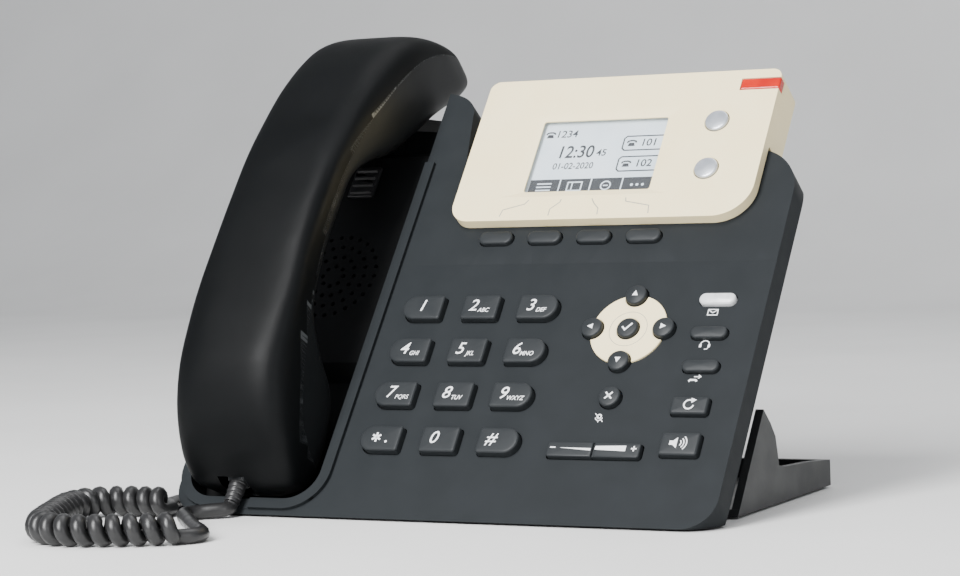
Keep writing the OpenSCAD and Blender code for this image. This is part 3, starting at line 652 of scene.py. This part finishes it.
# ---------------------------------------------------------------- keys
def lettering(shape, text, size, x, y, w, material=1, shear=0.22, bold=0.0, width=1.0):
    """Digits or letters from the built-in font, as a thin printed layer."""
    for offset in (bold, bold / 2, 0.0):
        curve = bpy.data.curves.new("lettering", "FONT")
        curve.body, curve.size, curve.shear = text, size, shear
        curve.offset, curve.extrude, curve.resolution_u = offset, 0.02, 4
        curve.align_x = "CENTER"
        curve.align_y = "CENTER"
        holder = bpy.data.objects.new("lettering", curve)
        bpy.context.scene.collection.objects.link(holder)
        graph = bpy.context.evaluated_depsgraph_get()
        data = bpy.data.meshes.new_from_object(holder.evaluated_get(graph))
        verts = [(x + v.co.x * width, y + v.co.y, w + v.co.z) for v in data.vertices]
        faces = [tuple(p.vertices) for p in data.polygons]
        bpy.data.objects.remove(holder)
        bpy.data.curves.remove(curve)
        bpy.data.meshes.remove(data)
        # A bold outline can shoot out of a sharp corner, so try a thinner one.
        if all(abs(v[1] - y) < size and abs(v[0] - x) < size * len(text) for v in verts):
            break
    shape.add(verts, faces, material)


def crowned(shape, loop, bottom, top, radius, crown, material=0):
    """A key cap: straight sides, a rounded edge and a slightly crowned top."""
    rings = [lifted(loop, bottom)]
    rings += [lifted(inset(loop, d), w) for d, w in rounded_edge(radius, top - crown)]
    inner = inset(loop, radius)
    centre = (inner.max(0) + inner.min(0)) / 2
    for s in (0.85, 0.65, 0.4, 0.15):
        rings.append(lifted(centre + (inner - centre) * s, top - crown * s * s))
    shape.loft(rings, material)


PRINT = 0.03  # height of a printed mark over what it is printed on
DIAL = {"key_1": ("1", ""), "key_2": ("2", "ABC"), "key_3": ("3", "DEF"),
        "key_4": ("4", "GHI"), "key_5": ("5", "JKL"), "key_6": ("6", "MNO"),
        "key_7": ("7", "PQRS"), "key_8": ("8", "TUV"), "key_9": ("9", "WXYZ"),
        "key_star": ("*", "."), "key_0": ("0", ""), "key_hash": ("#", "")}


def centre_of(loop):
    return (loop.max(0) + loop.min(0)) / 2


def key_shape(node, radius=0.8, crown=0.15):
    loop = cap_loops(node)[0]
    points = face_points(node)
    shape = Shape()
    crowned(shape, loop, points[:, 2].min(), points[:, 2].max(), radius, crown)
    x, y = centre_of(loop)
    return shape, x, y, points[:, 2].max() + PRINT


def finish_key(shape, node, mats, material="key"):
    data = shape.mesh(node + "_cap", [mats[material], mats["legend"]])
    add_piece(node + "_cap", data, node + "_body", [node])


def make_dial_keys(mats):
    for node, (digit, letters) in DIAL.items():
        shape, x, y, w = key_shape(node)
        shift = {0: 0.0, 1: -1.0, 3: -2.6, 4: -3.1}[len(letters)]
        shift += {"4": 0.9, "7": 1.5, "6": -0.5, "0": -2.1, "#": -2.6}.get(digit, 0.0)
        if digit == "*":
            for a in (90, 210, 330):
                c, s = math.cos(math.radians(a)), math.sin(math.radians(a))
                shape.stroke([(x - 1.2 - 1.9 * c, y - 1.9 * s), (x - 1.2 + 1.9 * c, y + 1.9 * s)],
                             0.75, w - 0.02, w + 0.02, 1)
            shape.prism(arc((x + 3.0, y - 1.7), 0.5, 0, 337.5, 15), w - 0.02, w + 0.02, 1)
        else:
            lettering(shape, digit, 6.9, x + shift, y + 0.15, w, bold=0.035)
        if len(letters) > 1:
            lettering(shape, letters, 2.5, x + shift + 2.6 + 0.62 * len(letters), y - 1.75, w,
                      bold=0.03, width=0.9)
        finish_key(shape, node, mats)


def triangle(x, y, size, angle):
    return [(x + size * math.cos(math.radians(angle + a)),
             y + size * math.sin(math.radians(angle + a))) for a in (0, 125, 235)]


def make_round_keys(mats):
    for i, name in enumerate(("nav_right", "nav_up", "nav_left", "nav_down")):
        shape, x, y, w = key_shape(name, 0.7, 0.35)
        shape.prism(triangle(x, y, 1.35, 90 * i), w - 0.06, w + 0.02, 1)
        finish_key(shape, name, mats)
    shape, x, y, w = key_shape("nav_ok", 0.7, 0.2)
    shape.stroke([(x - 1.7, y + 0.1), (x - 0.5, y - 1.3), (x + 1.9, y + 1.4)], 0.65,
                 w - 0.06, w + 0.02, 1)
    finish_key(shape, "nav_ok", mats)
    shape, x, y, w = key_shape("cancel_key", 0.7, 0.2)
    for s in (-1, 1):
        shape.stroke([(x - 1.3, y - 1.3 * s), (x + 1.3, y + 1.3 * s)], 0.6,
                     w - 0.06, w + 0.02, 1)
    finish_key(shape, "cancel_key", mats)


def make_side_keys(mats):
    for i in range(4):
        shape = key_shape(f"soft_key_{i + 1}", 0.8, 0.2)[0]
        finish_key(shape, f"soft_key_{i + 1}", mats)
    for name in ("headset_key", "transfer_key"):
        finish_key(key_shape(name, 0.8, 0.2)[0], name, mats)
    shape = key_shape("message_key", 1.1, 0.25)[0]
    finish_key(shape, "message_key", mats, "message_key")
    shape, x, y, w = key_shape("redial_key", 0.9, 0.15)
    shape.stroke(arc((x, y), 1.75, 60, 350, 22), 0.55, w - 0.02, w + 0.02, 1)
    shape.prism(triangle(x + 1.35, y + 1.65, 1.25, 10), w - 0.02, w + 0.02, 1)
    finish_key(shape, "redial_key", mats)
    shape, x, y, w = key_shape("speaker_key", 0.9, 0.15)
    horn = [(-3.4, -0.8), (-2.1, -0.8), (-0.6, -2.1), (-0.6, 2.1), (-2.1, 0.8), (-3.4, 0.8)]
    shape.prism([(x + a, y + b) for a, b in horn], w - 0.02, w + 0.02, 1)
    for r in (1.3, 2.3, 3.3):
        shape.stroke(arc((x - 0.4, y), r, -48, 48, 10), 0.4, w - 0.02, w + 0.02, 1)
    finish_key(shape, "speaker_key", mats)
    for name in ("line_key_1", "line_key_2"):
        loop = cap_loops(name)[0]
        points = face_points(name)
        shape = Shape()
        top = points[:, 2].max()
        crowned(shape, loop, 0.9, top, 0.7, 0.25)
        x, y = centre_of(loop)
        shape.prism(arc((x, y), 5.4, 0, 352.5, 47), 0.9, 1.9)
        shape.prism(arc((x, y), 3.3, 0, 352.5, 47), points[:, 2].min(), 0.9)
        data = shape.mesh(name + "_cap", [mats["line_key"]])
        add_piece(name + "_cap", data, name + "_body", [name])


def make_rocker(mats):
    """The volume bar: a centre notch, minus, plus and two wedges."""
    loop = cap_loops("volume_rocker", 2)[0]
    x, y = centre_of(loop)
    shape = Shape()
    half_length = (loop[:, 0].max() - loop[:, 0].min()) / 2
    for side in (-1, 1):
        part = np.array([p for p in loop if (p[0] - x) * side > 0.35])
        edge = [(x + 0.35 * side, y + 2.9), (x + 0.35 * side, y - 2.9)]
        part = np.array(sorted(list(map(tuple, part)) + edge,
                               key=lambda p: math.atan2(p[1] - y, p[0] - x - side * 8)))
        crowned(shape, part, -3.4, 2.0, 0.55, 0.12)
        wedge = [(x + side * 0.8, y + 0.35 + (0.9 if side > 0 else -0.0)),
                 (x + side * 12.2, y + (1.6 if side > 0 else 0.45)),
                 (x + side * 12.2, y + (-0.55 if side > 0 else 0.35)),
                 (x + side * 0.8, y - (0.15 if side > 0 else 0.55))]
        if area(np.array(wedge)) < 0:
            wedge.reverse()
        shape.prism(wedge, 2.0, 2.04, 1)
        shape.stroke([(x + side * 15.2 - 1.0, y + 0.5), (x + side * 15.2 + 1.0, y + 0.5)],
                     0.5, 2.0, 2.04, 1)
        if side > 0:
            shape.stroke([(x + 15.2, y - 0.5), (x + 15.2, y + 1.5)], 0.5, 2.0, 2.04, 1)
    core = [(x - 1, y - 2.6), (x + 1, y - 2.6), (x + 1, y + 2.6), (x - 1, y + 2.6)]
    shape.prism(core, -3.3, 1.0)
    foot = [(x + a * (half_length + 0.5), y + b * 3.4) for a, b in
            ((-1, -1), (1, -1), (1, 1), (-1, 1))]
    shape.prism(foot, -4.2, -3.4)
    data = shape.mesh("volume_bar", [mats["key"], mats["legend"]])
    add_piece("volume_bar", data, "volume_rocker_body", ["volume_rocker"])


# ---------------------------------------------------------------- screen, print and painted groove shade
def phone_icon(shape, x, y, w, s=1.0, material=0):
    body = [(-1.4, -1.3), (1.4, -1.3), (0.95, 0.15), (-0.95, 0.15)]
    shape.prism([(x + a * s, y + b * s) for a, b in body], w, w + 0.03, material)
    bow = [(-1.75, 0.2), (-1.45, 0.8), (-0.6, 1.1), (0.6, 1.1), (1.45, 0.8), (1.75, 0.2)]
    shape.stroke([(x + a * s, y + b * s) for a, b in bow], 0.62 * s, w, w + 0.03, material)


def make_screen(mats):
    """A generic idle picture: digits, a time, a date, two line boxes and four tabs."""
    shape = Shape()
    w = 0.73
    phone_icon(shape, 2.9, 161.2, w, 1.05)
    lettering(shape, "1234", 4.6, 9.6, 161.3, w, 0, 0.05, 0.03)
    lettering(shape, "12:30", 8.0, 15.4, 152.6, w, 0, 0.05, 0.09, 0.86)
    lettering(shape, "45", 4.2, 26.2, 152.0, w, 0, 0.05, 0.05)
    lettering(shape, "01-02-2020", 4.1, 15.9, 146.2, w, 0, 0.05, 0.03, 0.88)
    for low, high, digits in ((152.8, 159.3, "101"), (143.2, 149.8, "102")):
        edge = [(50.6, low), (35.2, low), (34.2, low + 1), (34.2, high - 1),
                (35.2, high), (50.6, high)]
        shape.stroke(edge, 0.55, w, w + 0.03)
        middle = (low + high) / 2
        phone_icon(shape, 37.6, middle, w, 1.05)
        lettering(shape, digits, 4.6, 44.6, middle, w, 0, 0.05, 0.05)
    for i in range(4):
        x0, x1 = 0.35 + 12.7 * i, 12.45 + 12.7 * i
        shape.prism([(x0, 133.3), (x1, 133.3), (x1, 140.2), (x0, 140.2)], w, w + 0.03)
    w, c = w + 0.04, 136.75
    for dy in (-1.5, 0, 1.5):
        shape.stroke([(3.4, c + dy), (9.4, c + dy)], 0.6, w, w + 0.03, 1)
    shape.stroke([(16.2, c - 1.9), (21.9, c - 1.9), (21.9, c + 1.9), (16.2, c + 1.9)], 0.55,
                 w, w + 0.03, 1, True)
    shape.stroke([(18.0, c - 1.9), (18.0, c + 1.9)], 0.5, w, w + 0.03, 1)
    shape.stroke(arc((31.8, c), 1.9, 0, 345, 23), 0.55, w, w + 0.03, 1, True)
    shape.stroke([(30.8, c), (32.8, c)], 0.55, w, w + 0.03, 1)
    for dx in (-2.2, 0, 2.2):
        shape.prism(arc((44.5 + dx, c), 0.6, 0, 337.5, 15), w, w + 0.03, 1)
    data = shape.mesh("screen_picture", [mats["screen_ink"], mats["screen"]])
    add_piece("screen_picture", data, "root")


def make_print_and_groove_shade(mats):
    """Thin printed lines on the bezel, and a thin dark ring of painted shade on the navigation
    disc where its groove would fall dark.
    """
    shape = Shape()
    pointers = (((4.4, 128.1), (3.2, 126.3), (-5.2, 123.8), (-5.9, 120.8)),
                ((17.7, 128.1), (17.5, 126.8), (14.2, 123.7), (14.2, 120.8)),
                ((30.1, 128.1), (31.5, 125.9), (33.7, 123.6), (34.0, 120.8)),
                ((43.7, 128.1), (44.1, 126.4), (53.7, 124.3), (54.2, 120.8)))
    for line in pointers:
        shape.stroke(line, 0.42, 4.59, 4.62)
    # A thin dark ring of painted shade: the groove's shadow between the disc's middle and its rim,
    # drawn as a mark on the flat disc.
    shape.stroke(arc((56.9, 73.5), 7.1, 0, 352, 44), 0.22, 0.69, 0.72, 0, True)
    data = shape.mesh("bezel_print_and_groove_shade", [mats["bezel_mark"]])
    add_piece("bezel_print_and_groove_shade", data, "root")


def make_face_icons(mats):
    """Signs printed on the housing beside the keys."""
    shape = Shape()
    low, high = 0.0, 0.03

    def line(points, width=0.34, closed=False):
        shape.stroke(points, width, low, high, 0, closed)

    x, y = 87.0, 80.8
    line([(x - 1.8, y - 1.15), (x + 1.8, y - 1.15), (x + 1.8, y + 1.15), (x - 1.8, y + 1.15)],
         closed=True)
    line([(x - 1.7, y + 1.0), (x, y - 0.25), (x + 1.7, y + 1.0)])
    x, y = 87.1, 67.4
    line(arc((x, y), 1.6, 0, 180, 12))
    for side in (-1, 1):
        line([(x + 1.6 * side, y + 0.1), (x + 1.6 * side, y - 1.1)], 0.85)
    line([(x + 1.6, y - 1.1), (x + 1.1, y - 1.8), (x + 0.1, y - 1.9)], 0.3)
    x, y = 86.6, 53.3
    line([(x - 2.1, y - 0.9), (x - 1.6, y - 0.3), (x + 0.4, y - 0.3), (x + 0.9, y - 0.9)], 0.7)
    line([(x - 0.4, y + 1.0), (x + 2.0, y + 1.0)])
    line([(x + 1.2, y + 1.7), (x + 2.1, y + 1.0), (x + 1.2, y + 0.3)])
    x, y = 54.7, 37.4
    line(arc((x, y + 0.5), 0.75, 0, 345, 14), 0.5, True)
    line(arc((x, y + 0.2), 1.35, 190, 350, 10), 0.3)
    line([(x, y - 1.2), (x, y - 1.9)], 0.3)
    line([(x - 1.7, y + 1.6), (x + 1.7, y - 1.6)], 0.3)
    data = shape.mesh("face_icons", [mats["legend"]])
    add_piece("face_icons", data, "root")


# ---------------------------------------------------------------- housings
def on_border(p):
    """Whether a point of the face lies on the body's outer outline."""
    u, v = p.x, p.y
    corners = ((94, 7, 12), (-94, 7, 12), (86, 132, 20), (-90, 178, 16), (-50, 178, 16))
    if any(abs(math.hypot(u - a, v - b) - r) < 0.5 and abs(u - a) + abs(v - b) > r
           for a, b, r in corners):
        return True
    return (abs(abs(u) - 106) < 0.3 or abs(v + 5) < 0.3 or abs(v - 194) < 0.3
            or (abs(v - 152) < 0.3 and u > -31) or (abs(u + 30.5) < 0.3 and v > 150)
            or (v > 176 and abs(u + 34) < 0.3))


def housing_weight(edge):
    a, b = edge.verts
    middle = (a.co + b.co) / 2
    if abs(a.co.z) < 0.02 and abs(b.co.z) < 0.02 and on_border(middle):
        return 1.6
    if a.co.z > 1.4 and b.co.z > 1.4:
        return 0.7
    return 0.3


GROOVE_V, GROOVE_HALF_WIDTH, GROOVE_DEPTH = 102.45, 0.3, 0.6
# The cradle's right shoulder: where it is drawn down, and by how much at most.
TOWER_LEFT, TOWER_RIGHT, TOWER_FOOT_V = -60, -29, 160
TOWER_DROP, TOWER_BLEND = 0.28, 11


def lower_tower(mesh):
    """Draws the cradle's right shoulder down, so the look is lower there than the CAD."""
    for vertex in mesh.verts:
        u, v, _ = vertex.co
        if TOWER_LEFT < u < TOWER_RIGHT and v > TOWER_FOOT_V:
            drop = TOWER_DROP * min(1, (u - TOWER_LEFT) / TOWER_BLEND)
            vertex.co.y = TOWER_FOOT_V + (v - TOWER_FOOT_V) * (1 - drop)


def cut_groove(mesh):
    """Lowers the tower, cuts a shallow V groove across the face and marks the well."""
    lower_tower(mesh)
    bmesh.ops.triangulate(mesh, faces=mesh.faces[:])
    for dv in (-GROOVE_HALF_WIDTH, 0, GROOVE_HALF_WIDTH):
        geometry = list(mesh.verts) + list(mesh.edges) + list(mesh.faces)
        bmesh.ops.bisect_plane(mesh, geom=geometry, plane_co=(0, GROOVE_V + dv, 0),
                               plane_no=(0, 1, 0), dist=0.001)
    for vertex in mesh.verts:
        if (abs(vertex.co.y - GROOVE_V) < 0.01 and abs(vertex.co.z) < 0.01
                and vertex.co.x > -43):
            vertex.co.z -= GROOVE_DEPTH
    for face in mesh.faces:
        u, v, w = face.calc_center_median()
        if -102.3 < u < -47.2 and v > 0.7 and (w < -0.05 or 0.05 < w < 1.4):
            face.material_index = 1


def make_housings(mats):
    softened("front_housing", "front_cover", mats["housing"],
             housing_weight, width=1.6, edit=cut_groove, second=mats["cradle"])
    softened("rear_housing", "rear_cover", mats["rear_housing"],
             lambda edge: 0.8, width=0.8, segments=2, edit=lower_tower)
    softened("display_bezel", "bezel", mats["bezel"],
             lambda edge: 0.9 if max(v.co.z for v in edge.verts) > 4.5 else 0.3, width=0.9)
    softened("nav_plate", "nav_disc", mats["bezel"],
             lambda edge: 0.3, width=0.3, segments=2)
    softened("stand", "stand_frame", mats["stand"],
             lambda edge: 0.6, width=0.6, segments=2)
    softened("hook_switch", "hook_plunger", mats["black_plastic"],
             lambda edge: 0.6, width=0.6, body="hook_switch_body")
    softened("hook_tab", "hook_slider", mats["black_plastic"],
             lambda edge: 0.25, width=0.25, segments=2)
    softened("message_lamp", "lamp_bar", mats["lamp"],
             lambda edge: 0.6, width=0.6)
    softened("rubber_feet", "feet", mats["foot"],
             lambda edge: 0.2, width=0.2, segments=2)


def finish_cad_nodes(mats):
    """Materials of the CAD parts that show as they are."""
    finishes = {"display_window": "window", "lcd_module": "screen", "loudspeaker": "black_plastic",
                "keypad_mat": "silicone", "main_board": "board", "network_jacks": "steel",
                "power_jack": "black_plastic", "handset_jacks": "black_plastic",
                "housing_screws": "steel", "handset_receiver": "steel",
                "handset_microphone": "steel", "handset_weight": "steel",
                "handset_socket": "black_plastic"}
    for node, name in finishes.items():
        data = NODES[node].data
        data.materials.clear()
        data.materials.append(mats[name])


# ---------------------------------------------------------------- stage
def make_stage():
    """A pale floor that curves up behind, large soft lights and a pale world."""
    profile = [(-3, 0), (1.2, 0)] + [(1.2 + 0.6 * math.sin(a), 0.6 * (1 - math.cos(a)))
                                     for a in (math.pi / 2 * i / 12 for i in range(1, 13))]
    profile.append((1.8, 3))
    verts = [(x, y, z) for x in (-4, 4) for y, z in profile]
    n = len(profile)
    faces = [(i, n + i, n + i + 1, i + 1) for i in range(n - 1)]
    data = bpy.data.meshes.new("floor")
    data.from_pydata(verts, [], faces)
    data.shade_smooth()
    paint = Shader("floor", (0.80, 0.80, 0.79), 0.6).mottle(
        6, (0.78, 0.78, 0.77), (0.82, 0.82, 0.81)).grain(300, 0.05)
    data.materials.append(paint.material)
    floor = bpy.data.objects.new("floor", data)
    bpy.context.scene.collection.objects.link(floor)

    world = bpy.data.worlds.new("world")
    bpy.context.scene.world = world
    world.use_nodes = True
    world.node_tree.nodes["Background"].inputs["Color"].default_value = (0.9, 0.93, 1, 1)
    world.node_tree.nodes["Background"].inputs["Strength"].default_value = 0.4

    def area_light(name, place, target, size, power, colour=(1, 1, 1)):
        light = bpy.data.lights.new(name, "AREA")
        light.shape = "RECTANGLE"
        light.size, light.size_y = size
        light.energy, light.color = power, colour
        holder = bpy.data.objects.new(name, light)
        holder.location = place
        way = Vector(target) - Vector(place)
        holder.rotation_mode = "QUATERNION"
        holder.rotation_quaternion = way.to_track_quat("-Z", "Y")
        bpy.context.scene.collection.objects.link(holder)

    middle = (0, 0, 0.09)
    area_light("key", (-0.18, -0.86, 0.80), middle, (0.34, 0.9), 27)
    area_light("front", (-0.1, -1.5, 0.8), middle, (1.0, 0.8), 17)
    area_light("fill", (1.3, -0.9, 0.6), middle, (0.8, 1.0), 6)
    area_light("top", (0.1, 0.4, 1.4), middle, (1.2, 0.8), 8)


# ---------------------------------------------------------------- main
make_camera()
MATS = make_materials()
PLUGS = {"handset": make_plug("handset_plug_body", "handset_plug", SOCKET_AT, -3, 14,
                              "handset", MATS),
         "base": make_plug("base_plug_body", "base_plug", BASE_JACK_AT, 42, 20,
                           "root", MATS)}
make_cords(MATS)
make_handset(MATS)
make_dial_keys(MATS)
make_round_keys(MATS)
make_side_keys(MATS)
make_rocker(MATS)
make_screen(MATS)
make_print_and_groove_shade(MATS)
make_face_icons(MATS)
make_housings(MATS)
finish_cad_nodes(MATS)
make_stage()
